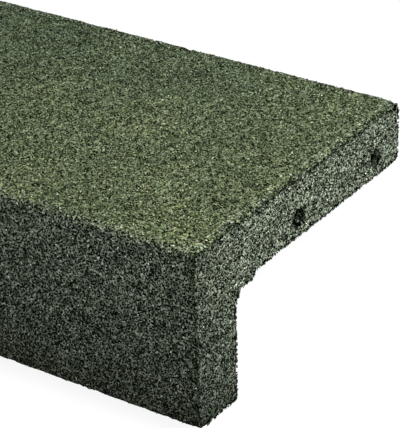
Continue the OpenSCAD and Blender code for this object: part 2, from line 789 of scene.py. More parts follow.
@dataclass
class Shell:
    """A closed mesh in laid coordinates, with what its finish reads at each vertex.

    depth is how far a vertex lies under the moulded surface, with painted shade added in the
    bores; the finish darkens deeper vertices as painted shade. tone is its granule's shade,
    from 0 to 1 before wear and painted shade are added. crown is 1 where the vertex has the top
    face's colour and 0 where it has the sides'. sheet is each triangle corner's place on the
    bake map.
    """

    points: np.ndarray
    triangles: np.ndarray
    depth: np.ndarray
    tone: np.ndarray
    crown: np.ndarray
    sheet: np.ndarray

    def to_object(self, name: str, pose: RestPose, smooth: bool) -> bpy.types.Object:
        """Makes the Blender object, leaned as the block rests.

        Args:
            name: the object's name.
            pose: the block's pose at rest.
            smooth: whether the mesh is shaded smooth.

        Returns:
            The new object, at the part's origin.
        """
        mesh = bpy.data.meshes.new(name)
        count = len(self.triangles)
        mesh.vertices.add(len(self.points))
        placed = pose.to_part(self.points).clip(*np.array(CAD_BOUNDS))
        mesh.vertices.foreach_set("co", placed.astype(np.float32).ravel())
        mesh.loops.add(3 * count)
        mesh.loops.foreach_set("vertex_index", self.triangles.astype(np.int32).ravel())
        mesh.polygons.add(count)
        mesh.polygons.foreach_set("loop_start", np.arange(0, 3 * count, 3, dtype=np.int32))
        mesh.polygons.foreach_set("use_smooth", np.full(count, smooth))
        for label, values in (("depth", self.depth / MM), ("tone", self.tone), ("crown", self.crown)):
            layer = mesh.attributes.new(label, "FLOAT", "POINT")
            layer.data.foreach_set("value", values.astype(np.float32))
        bake_map = mesh.uv_layers.new(name=BAKE_MAP)
        bake_map.data.foreach_set("uv", self.sheet.astype(np.float32).ravel())
        mesh.update(calc_edges=True)
        mesh.validate()
        piece = bpy.data.objects.new(name, mesh)
        bpy.context.scene.collection.objects.link(piece)
        return piece


def zip_rows(
    first: np.ndarray, first_x: np.ndarray, second: np.ndarray, second_x: np.ndarray
) -> np.ndarray:
    """Joins two rows of vertices, each in order along the block, with triangles.

    Args:
        first: vertex numbers of one row.
        first_x: their places along the block.
        second: vertex numbers of the next row round the section.
        second_x: their places along the block.

    Returns:
        The triangles, which face out of the block.
    """
    first_mid = (first_x[:-1] + first_x[1:]) / 2
    second_mid = (second_x[:-1] + second_x[1:]) / 2
    across = second[np.searchsorted(second_mid, first_mid, side="left")]
    back = first[np.searchsorted(first_mid, second_mid, side="right")]
    return np.concatenate(
        [
            np.stack([first[:-1], across, first[1:]], 1),
            np.stack([back, second[:-1], second[1:]], 1),
        ]
    )


@dataclass
class Sheet:
    """The body's bake map: the section unrolled, with both ends and the bores above it."""

    section: Section
    margin: float = 8 * MM

    @property
    def size(self) -> float:
        """Side of the square sheet."""
        tall = self.section.run[-1] + self.section.height + 3 * self.margin
        return max(tall, 2 * self.section.half_length + 2 * self.margin)

    def wall(self, x: np.ndarray, run: np.ndarray) -> np.ndarray:
        """Returns the map's places for points along the block and round its section."""
        across = x + self.section.half_length + self.margin
        return np.stack([across, run + self.margin], -1) / self.size

    def end(self, side: int, flat: np.ndarray) -> np.ndarray:
        """Places points of an end face.

        Args:
            side: 1 for the right end, -1 for the left.
            flat: the points, as depth and height.

        Returns:
            Their places on the map.
        """
        start = self.margin if side > 0 else 2 * self.margin + self.section.depth
        low = self.section.run[-1] + 2 * self.margin
        return (flat + np.array([start, low])) / self.size

    def bore(self, number: int, turn: np.ndarray, sunk: np.ndarray, bore: Bore) -> np.ndarray:
        """Returns the map's places for points of a bore, unrolled.

        Args:
            number: which bore it is.
            turn: shares of a turn round the bore's axis.
            sunk: depths along the bore.
            bore: the bore.

        Returns:
            The places, one row each.
        """
        width = 2 * math.pi * bore.radius
        start = 3 * self.margin + 2 * self.section.depth + number * (width + self.margin)
        low = self.section.run[-1] + 2 * self.margin
        return np.stack([start + turn * width, low + sunk], -1) / self.size


@dataclass
class Skin:
    """A mesh while it is being made, lot by lot."""

    points: list[np.ndarray] = field(default_factory=list)
    depths: list[np.ndarray] = field(default_factory=list)
    crowns: list[np.ndarray] = field(default_factory=list)
    triangles: list[np.ndarray] = field(default_factory=list)
    places: list[np.ndarray] = field(default_factory=list)
    count: int = 0

    def add(self, points: np.ndarray, depth: np.ndarray, crown: np.ndarray) -> np.ndarray:
        """Adds vertices.

        Args:
            points: laid places.
            depth: how far each lies under the moulded surface.
            crown: how much of the top face's colour each has.

        Returns:
            The new vertices' numbers.
        """
        self.points.append(points)
        self.depths.append(depth)
        self.crowns.append(crown)
        numbers = np.arange(self.count, self.count + len(points))
        self.count += len(points)
        return numbers

    def cover(self, triangles: np.ndarray, places: np.ndarray, turned: bool = False) -> None:
        """Adds triangles.

        Args:
            triangles: their vertices' numbers.
            places: their corners' places on the bake map.
            turned: whether they are turned to face the other way.
        """
        way = -1 if turned else 1
        self.triangles.append(triangles[:, ::way])
        self.places.append(places[:, ::way])

    def flat(self, numbers: np.ndarray) -> np.ndarray:
        """Returns the places of numbered vertices in the section's plane."""
        return np.concatenate(self.points)[numbers, 1:]


def fill_loops(flat: np.ndarray, counts: list[int], side: int) -> np.ndarray:
    """Joins flat points with triangles, inside one loop and outside the loops within it.

    Args:
        flat: the points, those of the loops first.
        counts: how many points each loop has, the outer loop first.
        side: 1 for counterclockwise triangles and -1 for clockwise ones.

    Returns:
        The triangles, as numbers of points.

    Raises:
        ValueError: if points were merged or added.
    """
    starts = np.cumsum([0, *counts])
    limits = []
    for start, count in zip(starts.tolist(), counts):
        limits += [(start + k, start + (k + 1) % count) for k in range(count)]
    found = delaunay_2d_cdt([tuple(p) for p in flat], limits, [], 0, CLOSE, True)
    if len(found[0]) != len(flat):
        raise ValueError("the end's vertices don't match its triangles")
    back = np.array([group[0] for group in found[3]])
    triangles = back[np.array(found[2])]
    centres = flat[triangles].mean(1)
    rim, *holes = np.split(flat[: starts[-1]], starts[1:-1])
    keep = inside(centres, rim)
    for hole in holes:
        keep &= ~inside(centres, hole)
    triangles = triangles[keep]
    a, b, c = (flat[triangles[:, k]] for k in range(3))
    turn = (b - a)[:, 0] * (c - a)[:, 1] - (b - a)[:, 1] * (c - a)[:, 0]
    wrong = np.sign(turn) != side
    triangles[wrong] = triangles[wrong][:, ::-1]
    return triangles


@dataclass
class Piece:
    """What every visible piece of the block is made with."""

    section: Section
    pose: RestPose
    end_edge: EndEdge
    chips: Chips
    crown: Crown
    rng: np.random.Generator = field(init=False)


@dataclass
class Row:
    """A row of the skin's vertices from end to end, all at one run round the section."""

    numbers: np.ndarray
    x: np.ndarray
    run: float


@dataclass(frozen=True)
class BoreWear:
    """How rough the bores' walls are and how their mouths have crumbled.

    rings are how deep the wall's rings of vertices lie, in millimetres. The wall lies outside
    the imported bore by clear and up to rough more, and at the mouth by up to crumble more.
    """

    sides: int = 30
    rings: tuple[float, ...] = (0.0, 1.8, 4.0, 7.0, 11.0, 17.0, 25.0, 37.0)
    turn_jitter: float = 0.3
    clear: float = 0.1 * MM
    rough: float = 0.9 * MM
    crumble: float = 1.0 * MM
    crumble_reach: float = 2.5 * MM
    mouth_least: float = 0.4 * MM
    mouth_spread: float = 0.8 * MM
    bottom_rim: float = 0.3 * MM
    bottom_middle: float = 0.5 * MM
    shade: float = 0.6 * MM
    shade_slope: float = 0.08
    bottom_shade: float = 4 * MM


@dataclass
class MouldedBody(Piece):
    """The block itself: one closed skin with the relief of pressed granules.

    end_steps are the places of the outermost vertices of a row, measured from the end. Close
    to an edge the relief is calmer, and vertices keep clear of the loops round an end by the
    share clearance of their spacing.
    """

    name: str = "edging_body"
    seed: int = 11
    spacing: dict[Face, float] = field(
        default_factory=lambda: {
            Face.TOP: 2.3 * MM,
            Face.FRONT: 3.2 * MM,
            Face.FOOT: 4.5 * MM,
            Face.LEG_BACK: 8.0 * MM,
            Face.UNDERSIDE: 8.0 * MM,
            Face.REAR: 5.0 * MM,
        }
    )
    relief: dict[Face, Relief] = field(
        default_factory=lambda: {
            Face.TOP: Relief(0.3 * MM, 1.6 * MM, 2.0),
            Face.FRONT: Relief(0.3 * MM, 1.2 * MM, 1.8),
            Face.FOOT: Relief(0.0 * MM, 1.4 * MM, 1.3),
            Face.LEG_BACK: Relief(-0.7 * MM, 1.6 * MM, 1.5),
            Face.UNDERSIDE: Relief(-1.0 * MM, 1.7 * MM, 1.5),
            Face.REAR: Relief(-0.8 * MM, 1.8 * MM, 1.5),
        }
    )
    row_jitter: float = 0.25
    end_steps: tuple[float, ...] = (0.0, 1.3 * MM, 2.8 * MM)
    end_spacing: float = 2.6 * MM
    end_relief: Relief = Relief(0.3 * MM, 1.6 * MM, 1.6)
    clearance: float = 0.45
    calm: float = 0.6
    calm_reach: float = 1.5 * MM
    bore_wear: BoreWear = BoreWear()
    skin: Skin = field(init=False)
    sheet: Sheet = field(init=False)

    def build(self) -> bpy.types.Object:
        """Makes the body.

        Returns:
            The body's object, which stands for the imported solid.
        """
        self.rng = np.random.default_rng(self.seed)
        self.skin = Skin()
        self.sheet = Sheet(self.section)
        rings = self.build_walls()
        for side in (1, -1):
            self.build_end(side, rings[side])
        points = np.concatenate(self.skin.points)
        # random tones, with wear and painted shade near the edges added
        tone = self.rng.random(len(points)) + self.end_edge.scuffed(points)
        shell = Shell(
            self.section.confine(points),
            np.concatenate(self.skin.triangles),
            np.concatenate(self.skin.depths),
            tone,
            np.concatenate(self.skin.crowns),
            np.concatenate(self.skin.places),
        )
        return shell.to_object(self.name, self.pose, smooth=True)

    def build_walls(self) -> dict[int, np.ndarray]:
        """Makes the skin round the section from end to end.

        Returns:
            For each end, the numbers of its ring of vertices.
        """
        section = self.section
        rows: list[Row] = []
        for edge, length in enumerate(section.length):
            pieces = max(1, round(length / self.spacing[Face(section.face[edge])]))
            for piece in range(pieces):
                rows.append(self.build_row(edge, piece, pieces, odd=bool(len(rows) % 2)))
        laid_x = np.concatenate([row.x for row in rows])
        after_runs = [*(row.run for row in rows[1:]), section.run[-1]]
        for row, after, after_run in zip(rows, rows[1:] + rows[:1], after_runs):
            triangles = zip_rows(row.numbers, row.x, after.numbers, after.x)
            run = np.where(np.isin(triangles, row.numbers), row.run, after_run)
            self.skin.cover(triangles, self.sheet.wall(laid_x[triangles], run))
        left, right = (np.array([row.numbers[k] for row in rows]) for k in (0, -1))
        return {1: right, -1: left}

    def stations(self, spacing: float, odd: bool) -> np.ndarray:
        """Spreads places along the block, close together at its ends.

        Args:
            spacing: the usual distance between them.
            odd: whether the row is shifted by half a step.

        Returns:
            The places in order, from end to end.
        """
        near = self.section.half_length - np.array(self.end_steps)
        count = round(2 * near[-1] / spacing)
        step = 2 * near[-1] / count
        shift = -0.25 if odd else 0.25
        middle = -near[-1] + step * (1 + shift + np.arange(count - 2 + odd))
        middle += self.rng.uniform(-self.row_jitter, self.row_jitter, len(middle)) * step
        return np.concatenate([-near, middle, near[::-1]])

    def build_row(self, edge: int, piece: int, pieces: int, odd: bool) -> Row:
        """Makes one row of vertices from end to end.

        Args:
            edge: the number of the section's edge that it lies on.
            piece: which of the edge's pieces it begins.
            pieces: how many pieces the edge is cut into.
            odd: whether the row is shifted by half a step.

        Returns:
            The row.
        """
        section = self.section
        length = section.length[edge]
        face = Face(section.face[edge])
        x = self.stations(self.spacing[face], odd)
        step = length / pieces
        slide = self.rng.uniform(-self.row_jitter, self.row_jitter, len(x)) * step
        slide *= pieces > 1 and piece > 0
        slide[[0, -1]] = 0
        run = section.run[edge] + step * piece + slide
        place = section.outline[edge] + (run - section.run[edge])[:, None] * section.edge[edge]
        normal = section.normal[edge] if piece else section.corner_normal[edge]
        depth = self.relief[face].draw(self.rng, len(x))
        reach = section.half_length - np.abs(x)
        depth *= np.where((reach < self.calm_reach) | (length < SHORT), self.calm, 1.0)
        radius = self.end_edge.radius_at(section.face[edge])
        sunk = depth + self.end_edge.drop(reach, radius)
        sunk += self.chips.at(np.column_stack([x, place]))
        if piece == 0:
            sunk = np.minimum(sunk, section.give[edge])
        inset = np.where(reach < self.end_steps[1] / 2, radius * (1 - math.sqrt(0.5)), 0.0)
        flat = place - sunk[:, None] * normal
        depth += np.where(inset > 0, self.end_edge.groove_at(flat), 0.0)
        laid = np.column_stack([x - np.sign(x) * inset, flat])
        numbers = self.skin.add(laid, depth, self.crown.draw(self.rng, laid))
        return Row(numbers, x, section.run[edge] + step * piece)

    def build_end(self, side: int, ring: np.ndarray) -> None:
        """Makes one end face and its bores.

        Args:
            side: 1 for the end at +X and -1 for the other.
            ring: the numbers of the walls' vertices at that end.
        """
        section = self.section
        rim = self.skin.flat(ring)
        loops = [ring]
        for number, bore in enumerate(section.bores):
            if bore.side == side:
                loops.append(self.build_bore(bore, number))
        outline = section.outline
        grid = scatter(self.rng, outline.min(0), outline.max(0), self.end_spacing)
        clearance = self.clearance * self.end_spacing
        keep = inside(grid, rim) & (nearest_on(grid, rim)[0] > clearance)
        for mouth in loops[1:]:
            loop = self.skin.flat(mouth)
            keep &= (nearest_on(grid, loop)[0] > clearance) & ~inside(grid, loop)
        grid = grid[keep]
        depth = self.end_relief.draw(self.rng, len(grid))
        worn, groove = self.end_edge.wear(grid)
        depth *= np.where(nearest_on(grid, outline)[0] < self.calm_reach, self.calm, 1.0)
        level = np.column_stack([np.full(len(grid), side * section.half_length), grid])
        inset = depth + worn + groove + self.chips.at(level)
        laid = np.column_stack([side * (section.half_length - inset), grid])
        middle = self.skin.add(laid, depth + groove, self.crown.draw(self.rng, laid))
        numbers = np.concatenate([*loops, middle])
        flat = self.skin.flat(numbers)
        triangles = fill_loops(flat, [len(loop) for loop in loops], side)
        self.skin.cover(numbers[triangles], self.sheet.end(side, flat[triangles]))

    def build_bore(self, bore: Bore, number: int) -> np.ndarray:
        """Makes a bore's wall and its bottom.

        Args:
            bore: the bore.
            number: its number on the bake map.

        Returns:
            The numbers of the vertices round its mouth.
        """
        wear = self.bore_wear
        sides = wear.sides
        turned = bore.side < 0
        turn = np.arange(sides) / sides
        turn_on = np.arange(1, sides + 1) / sides
        on = np.roll(np.arange(sides), -1)
        steps = np.array([*wear.rings, bore.depth / MM]) * MM
        rings = [self.build_ring(bore, sunk, k, len(steps)) for k, sunk in enumerate(steps)]
        for k in range(len(rings) - 1):
            a, b = rings[k], rings[k + 1]
            near, far, near_on, far_on = (
                self.sheet.bore(number, share, np.full(sides, sunk), bore)
                for share in (turn, turn_on)
                for sunk in steps[k : k + 2]
            )
            halves = (
                ([a, b, b[on]], [near, far, far_on]),
                ([a, b[on], a[on]], [near, far_on, near_on]),
            )
            for corners, places in halves:
                self.skin.cover(np.stack(corners, 1), np.stack(places, 1), turned)
        last = rings[-1]
        middle = bore.side * (self.section.half_length - bore.depth + wear.bottom_middle)
        # painted shade on the bore's bottom
        hub = self.skin.add(
            np.array([[middle, *bore.centre]]), np.array([wear.bottom_shade]), np.zeros(1)
        )
        at, at_on, deep = (
            self.sheet.bore(number, share, np.full(sides, sunk), bore)
            for share, sunk in (
                (turn, bore.depth),
                (turn_on, bore.depth),
                (turn, bore.depth + bore.radius),
            )
        )
        fan = np.stack([last, np.full(sides, hub[0]), last[on]], 1)
        self.skin.cover(fan, np.stack([at, deep, at_on], 1), turned)
        return rings[0]

    def build_ring(self, bore: Bore, sunk: float, number: int, total: int) -> np.ndarray:
        """Makes one ring of vertices round a bore.

        Args:
            bore: the bore.
            sunk: how deep the ring lies.
            number: the ring's number, from 0 at the mouth.
            total: how many rings there are.

        Returns:
            The vertices' numbers.
        """
        wear, rng = self.bore_wear, self.rng
        sides = wear.sides
        jitter = rng.uniform(-wear.turn_jitter, wear.turn_jitter, sides)
        angle = 2 * math.pi * (np.arange(sides) / sides + jitter / sides)
        crumble = wear.crumble * math.exp(-sunk / wear.crumble_reach)
        out = rng.random(sides) * (wear.rough + crumble)
        radius = bore.radius + wear.clear + out
        inset = sunk
        if number == 0:
            inset = inset + (wear.mouth_spread * rng.random(sides) + wear.mouth_least)
        if number == total - 1:
            inset = inset - wear.bottom_rim
        flat = bore.centre + radius[:, None] * np.stack([np.cos(angle), np.sin(angle)], 1)
        x = bore.side * (self.section.half_length - inset)
        laid = np.column_stack([np.broadcast_to(x, sides), flat])
        # painted shade on the bore's wall, darker deeper in
        return self.skin.add(laid, out + wear.shade + wear.shade_slope * sunk, np.zeros(sides))


@dataclass(frozen=True)
class Grain:
    """Sizes and lie of a crust's granules, with slimness and thickness as shares of the width."""

    spacing: float
    half_width: Pair
    tilt: float
    sunk: Relief
    slimness: Pair = (0.55, 1.0)
    thickness: Pair = (0.5, 0.9)

    @classmethod
    def of_mm(
        cls, spacing: float, widths: Pair, tilt: float, sunk: tuple[float, float, float], **more: Pair
    ) -> "Grain":
        """Describes granules in millimetres.

        Args:
            spacing: the usual distance between them.
            widths: their least and greatest half width.
            tilt: how far they lean, in radians.
            sunk: the least, the spread and the power of how deep they lie.
            more: slimness or thickness where it isn't the usual one.

        Returns:
            The granules' sizes and lie.
        """
        least, spread, power = sunk
        half_width = (widths[0] * MM, widths[1] * MM)
        return cls(spacing * MM, half_width, tilt, Relief(least * MM, spread * MM, power), **more)


@dataclass(frozen=True)
class Variety:
    """How much a crust's granules differ from regular ones, as shares of their own sizes.

    flipped is how many of the pointed ones stand on their point.
    """

    corner_turn: float = 0.22
    reach: Pair = (0.8, 1.25)
    slip: float = 0.25
    foot: Pair = (0.8, 1.2)
    head: Pair = (0.5, 0.95)
    rise: Pair = (0.7, 1.3)
    flipped: float = 0.5


@dataclass
class Seats:
    """Where a crust's granules sit, one row each.

    along, across and out are each seat's axes, worn and groove are how far its edge's
    rounding and groove sink it, and crown is 1 where it has the top face's colour.
    """

    place: np.ndarray
    along: np.ndarray
    across: np.ndarray
    out: np.ndarray
    worn: np.ndarray
    groove: np.ndarray
    crown: np.ndarray

    def pick(self, chosen: np.ndarray) -> "Seats":
        """Returns some of the seats."""
        return Seats(*(getattr(self, part.name)[chosen] for part in fields(self)))


def scatter(
    rng: np.random.Generator, low: np.ndarray, high: np.ndarray, spacing: float
) -> np.ndarray:
    """Spreads flat points over a rectangle on a jittered triangular grid.

    Args:
        rng: the source of the jitter.
        low: the rectangle's lowest corner.
        high: its highest corner.
        spacing: the usual distance between points.

    Returns:
        The points, one row each.
    """
    rise = spacing * math.sqrt(0.75)
    columns = np.arange(low[0], high[0] + spacing, spacing)
    rows = np.arange(low[1], high[1] + rise, rise)
    across, up = np.meshgrid(columns, rows)
    across[1::2] += spacing / 2
    grid = np.stack([across.ravel(), up.ravel()], 1)
    grid += rng.uniform(-JITTER, JITTER, grid.shape) * spacing
    within = (grid >= low).all(1) & (grid <= high).all(1)
    return grid[within]


@dataclass
class GranuleCrust(Piece):
    """Separate angular granules that stand in one or more faces of the block.

    walls are the granules of each face of the section, ends those of the end faces, edges
    those along the section's rounded edges, rims those round the ends, and pebbles larger
    ones low on the block. cuts are how common each cut is.
    """

    name: str
    seed: int
    walls: dict[Face, Grain] = field(default_factory=dict)
    ends: Grain | None = None
    edges: Grain | None = None
    rims: Grain | None = None
    pebbles: Grain | None = None
    overlap: float = 1.5 * MM
    low_reach: float = 42.0 * MM
    mouth_overlap: float = 0.8
    rim_jitter: float = 0.4
    variety: Variety = Variety()
    cuts: dict[Cut, float] = field(
        default_factory=lambda: {Cut.SHARD: 0.7, Cut.WEDGE: 0.2, Cut.BLOCK: 0.1}
    )

    def build(self) -> bpy.types.Object:
        """Makes the crust.

        Returns:
            The crust's object.
        """
        self.rng = np.random.default_rng(self.seed)
        lots = [(self.wall_seats(face, grain), grain) for face, grain in self.walls.items()]
        if self.ends:
            lots += [(self.end_seats(side, self.ends), self.ends) for side in (1, -1)]
        if self.edges:
            lots.append((self.edge_seats(self.edges), self.edges))
        if self.rims:
            lots += [(self.rim_seats(side, self.rims), self.rims) for side in (1, -1)]
        if self.pebbles:
            lots += [(seats, self.pebbles) for seats in self.low_seats(self.pebbles)]
        parts: list[tuple[Cut, tuple[np.ndarray, ...]]] = []
        for seats, grain in lots:
            chosen = self.rng.choice(len(self.cuts), len(seats.place), p=list(self.cuts.values()))
            for number, cut in enumerate(self.cuts):
                parts.append((cut, self.granules(seats.pick(chosen == number), grain, cut)))
        shell = self.gather(parts)
        return shell.to_object(self.name, self.pose, smooth=False)

    def wall_seats(self, face: Face, grain: Grain) -> Seats:
        """Spreads granules over one face of the section.

        Args:
            face: the face.
            grain: its granules.

        Returns:
            Their seats.
        """
        section = self.section
        edges = np.flatnonzero(section.face == face.value)
        gaps = np.flatnonzero(np.diff(edges) > 1)
        first = edges[gaps[0] + 1] if len(gaps) else edges[0]
        ordered = np.roll(np.arange(len(section.length)), -first)
        width = section.length[ordered][np.isin(ordered, edges)].sum()
        half = section.half_length - self.chips.bare
        low, high = np.array([0.0, -half]), np.array([width, half])
        grid = scatter(self.rng, low, high, grain.spacing)
        return self.seats_at(section.run[first] + grid[:, 0], grid[:, 1])

    def seats_at(self, run: np.ndarray, x: np.ndarray) -> Seats:
        """Finds granules' seats on the section's faces.

        Args:
            run: distances round the section.
            x: places along the block.

        Returns:
            The seats.
        """
        section = self.section
        flat, normal, edge = section.at(run % section.run[-1])
        place = np.column_stack([x, flat])
        out = np.column_stack([np.zeros(len(x)), normal])
        across = np.broadcast_to(ALONG, out.shape)
        along = np.cross(across, out)
        radius = self.end_edge.radius_at(section.face[edge])
        worn = self.end_edge.drop(section.half_length - np.abs(x), radius)
        crown = self.crown.draw(self.rng, place)
        return Seats(place, along, across, out, worn, np.zeros(len(x)), crown)

    def end_seats(self, side: int, grain: Grain) -> Seats:
        """Spreads granules over an end.

        Args:
            side: 1 for the end at +X and -1 for the other.
            grain: its granules.

        Returns:
            Their seats.
        """
        section = self.section
        outline = section.outline
        grid = scatter(self.rng, outline.min(0), outline.max(0), grain.spacing)
        grid = grid[inside(grid, outline)]
        for bore in section.bores:
            if bore.side == side:
                away = np.linalg.norm(grid - bore.centre, axis=1)
                grid = grid[away > bore.radius + self.mouth_overlap * grain.half_width[1]]
        grid = grid[nearest_on(grid, outline)[0] > self.chips.bare]
        place = np.column_stack([np.full(len(grid), side * section.half_length), grid])
        out = np.broadcast_to(side * ALONG, place.shape)
        level, upright = (np.broadcast_to(axis, place.shape) for axis in np.eye(3)[1:])
        along, across = (level, upright) if side > 0 else (upright, level)
        worn, groove = self.end_edge.wear(grid)
        crown = self.crown.draw(self.rng, place)
        return Seats(place, along, across, out, worn, groove, crown)

    def low_seats(self, grain: Grain) -> list[Seats]:
        """Spreads granules low on the front and the ends and along the rough edges.

        Args:
            grain: the granules.

        Returns:
            Their seats, fewer of them higher up.
        """
        edges = self.edge_seats(grain)
        rims = [self.rim_seats(side, grain) for side in (1, -1)]
        kept = [seats.pick(seats.worn < 0) for seats in (edges, *rims)]
        faces = [self.wall_seats(Face.FRONT, grain)]
        faces += [self.end_seats(side, grain) for side in (1, -1)]
        for seats in faces:
            share = 1 - seats.place[:, 2] / self.low_reach
            kept.append(seats.pick(self.rng.random(len(share)) < share))
        return kept

    def edge_seats(self, grain: Grain) -> Seats:
        """Spreads granules along the section's rounded edges, from end to end.

        Args:
            grain: the granules.

        Returns:
            Their seats.
        """
        section = self.section
        runs, places = [], []
        for start, count in section.rounded:
            width = section.length[np.arange(start, start + count) % len(section.length)].sum()
            low = np.array([-self.overlap, -section.half_length])
            high = np.array([width + self.overlap, section.half_length])
            grid = scatter(self.rng, low, high, grain.spacing)
            runs.append(section.run[start] + grid[:, 0])
            places.append(grid[:, 1])
        run = np.concatenate(runs)
        seats = self.seats_at(run, np.concatenate(places))
        coarse = section.rough(section.at(run % section.run[-1])[2])
        seats.worn = seats.worn - self.end_edge.edge_stand * coarse
        return seats

    def rim_seats(self, side: int, grain: Grain) -> Seats:
        """Spreads granules round the edge of an end.

        Args:
            side: 1 for the end at +X and -1 for the other.
            grain: its granules.

        Returns:
            Their seats, which look halfway out of the end.
        """
        section = self.section
        count = round(section.run[-1] / grain.spacing)
        jitter = self.rng.uniform(-self.rim_jitter, self.rim_jitter, count)
        run = (np.arange(count) + jitter) * grain.spacing
        seats = self.seats_at(run % section.run[-1], np.full(count, side * section.half_length))
        edge = section.at(run % section.run[-1])[2]
        seats.worn = self.end_edge.rim_drop(edge)
        level = seats.place - seats.worn[:, None] * seats.out
        seats.groove = self.end_edge.groove_at(level[:, 1:])
        seats.out = unit(seats.out + side * ALONG)
        seats.across = np.cross(seats.out, seats.along)
        return seats

    def granules(self, seats: Seats, grain: Grain, cut: Cut) -> tuple[np.ndarray, ...]:
        """Makes angular granules with flat faces.

        Args:
            seats: where they sit.
            grain: their sizes and lie.
            cut: their shape.

        Returns:
            The granules' points, depths, tones and crowns.
        """
        foot, head, low, high = self.shapes(len(seats.place), grain, cut)
        rng, count = self.rng, len(seats.place)
        flat = np.concatenate([foot, head], 1)
        rise = np.concatenate([low, high], 1)
        spin = rng.uniform(0, 2 * math.pi, (count, 1))
        u = flat[..., 0] * np.cos(spin) - flat[..., 1] * np.sin(spin)
        v = flat[..., 0] * np.sin(spin) + flat[..., 1] * np.cos(spin)
        lean = grain.tilt * rng.uniform(-1, 1, (2, count, 1))
        u, rise = self.swing(u, rise, lean[0])
        v, rise = self.swing(v, rise, lean[1])
        rise -= rise.max(1, keepdims=True) + grain.sunk.draw(rng, count)[:, None]
        depth = -rise
        worn = seats.worn + seats.groove + self.chips.at(seats.place)
        rise = rise - worn[:, None]
        points = (
            seats.place[:, None]
            + u[..., None] * seats.along[:, None]
            + v[..., None] * seats.across[:, None]
            + rise[..., None] * seats.out[:, None]
        )
        # random tones, with wear and painted shade near the edges added
        tone = rng.random(count) + self.end_edge.scuffed(seats.place)
        tone = np.broadcast_to(tone[:, None], depth.shape)
        crown = np.broadcast_to(seats.crown[:, None], depth.shape)
        return points, depth + seats.groove[:, None], tone, crown

    def shapes(self, count: int, grain: Grain, cut: Cut) -> tuple[np.ndarray, ...]:
        """Draws the outlines and heights of upright granules.

        Args:
            count: how many granules.
            grain: their sizes.
            cut: their shape.

        Returns:
            The flat corners of their feet and of their heads, and both's heights.
        """
        rng, variety = self.rng, self.variety
        corners = cut.corners
        jitter = rng.uniform(-variety.corner_turn, variety.corner_turn, (count, corners))
        turn = 2 * math.pi / corners * (np.arange(corners) + jitter)
        turn += rng.uniform(0, 2 * math.pi, (count, 1))
        width = rng.uniform(*grain.half_width, (count, 1))
        slim = rng.uniform(*grain.slimness, (count, 1))
        thick = width * rng.uniform(*grain.thickness, (count, 1))
        reach = width * rng.uniform(*variety.reach, (count, corners))
        foot = np.stack([reach * np.cos(turn), slim * reach * np.sin(turn)], 2)
        slip = rng.uniform(-variety.slip, variety.slip, (count, 1, 2)) * width[..., None]
        low = -thick * rng.uniform(*variety.foot, (count, corners))
        if cut.flat_top:
            head = foot * rng.uniform(*variety.head, (count, 1, 1)) + slip
            return foot, head, low, thick * rng.uniform(*variety.rise, (count, corners))
        flipped = rng.random((count, 1)) < variety.flipped
        foot = np.where(flipped[..., None], foot[:, ::-1], foot)
        low, high = (np.where(flipped, -rise, rise) for rise in (low, thick))
        return foot, slip, low, high

    @staticmethod
    def swing(
        flat: np.ndarray, rise: np.ndarray, angle: np.ndarray
    ) -> tuple[np.ndarray, np.ndarray]:
        """Turns points about an axis in the face.

        Args:
            flat: distances across that axis.
            rise: heights over the face.
            angle: the turn.

        Returns:
            The new distances and heights.
        """
        cos, sin = np.cos(angle), np.sin(angle)
        return flat * cos + rise * sin, rise * cos - flat * sin

    def gather(self, parts: list[tuple[Cut, tuple[np.ndarray, ...]]]) -> Shell:
        """Joins all granules into one mesh, each in its own cell of the bake map.

        Args:
            parts: the cut, and the points, depths, tones and crowns, for each lot.

        Returns:
            The crust's shell.
        """
        total = sum(len(lot[0]) for _, lot in parts)
        cells = math.ceil(math.sqrt(total))
        points, depths, tones, crowns, triangles, sheets = [], [], [], [], [], []
        first = number = 0
        for cut, (place, depth, tone, crown) in parts:
            count, size = depth.shape
            starts = first + size * np.arange(count)
            triangles.append((starts[:, None, None] + cut.triangles()).reshape(-1, 3))
            cell = number + np.arange(count)
            corner = np.stack([cell % cells, cell // cells], 1)[:, None, None]
            sheet = (corner + cut.sheet()) / cells
            sheets.append(sheet.reshape(-1, 3, 2))
            points.append(place.reshape(-1, 3))
            depths.append(depth.ravel())
            tones.append(tone.ravel())
            crowns.append(crown.ravel())
            first += count * size
            number += count
        held = self.section.confine(np.concatenate(points))
        return Shell(
            self.clear_bores(held),
            np.concatenate(triangles),
            np.concatenate(depths),
            np.concatenate(tones),
            np.concatenate(crowns),
            np.concatenate(sheets),
        )

    def clear_bores(self, laid: np.ndarray) -> np.ndarray:
        """Moves points that stand in a bore out to its wall.

        Args:
            laid: points in laid coordinates.

        Returns:
            The points with the bores clear.
        """
        held = laid.copy()
        for bore in self.section.bores:
            deep = bore.side * laid[:, 0] > self.section.half_length - bore.depth
            away = held[:, 1:] - bore.centre
            far = np.linalg.norm(away, axis=1)
            near = deep & (far < bore.radius)
            held[near, 1:] = bore.centre + away[near] * (bore.radius / far[near])[:, None]
        return held


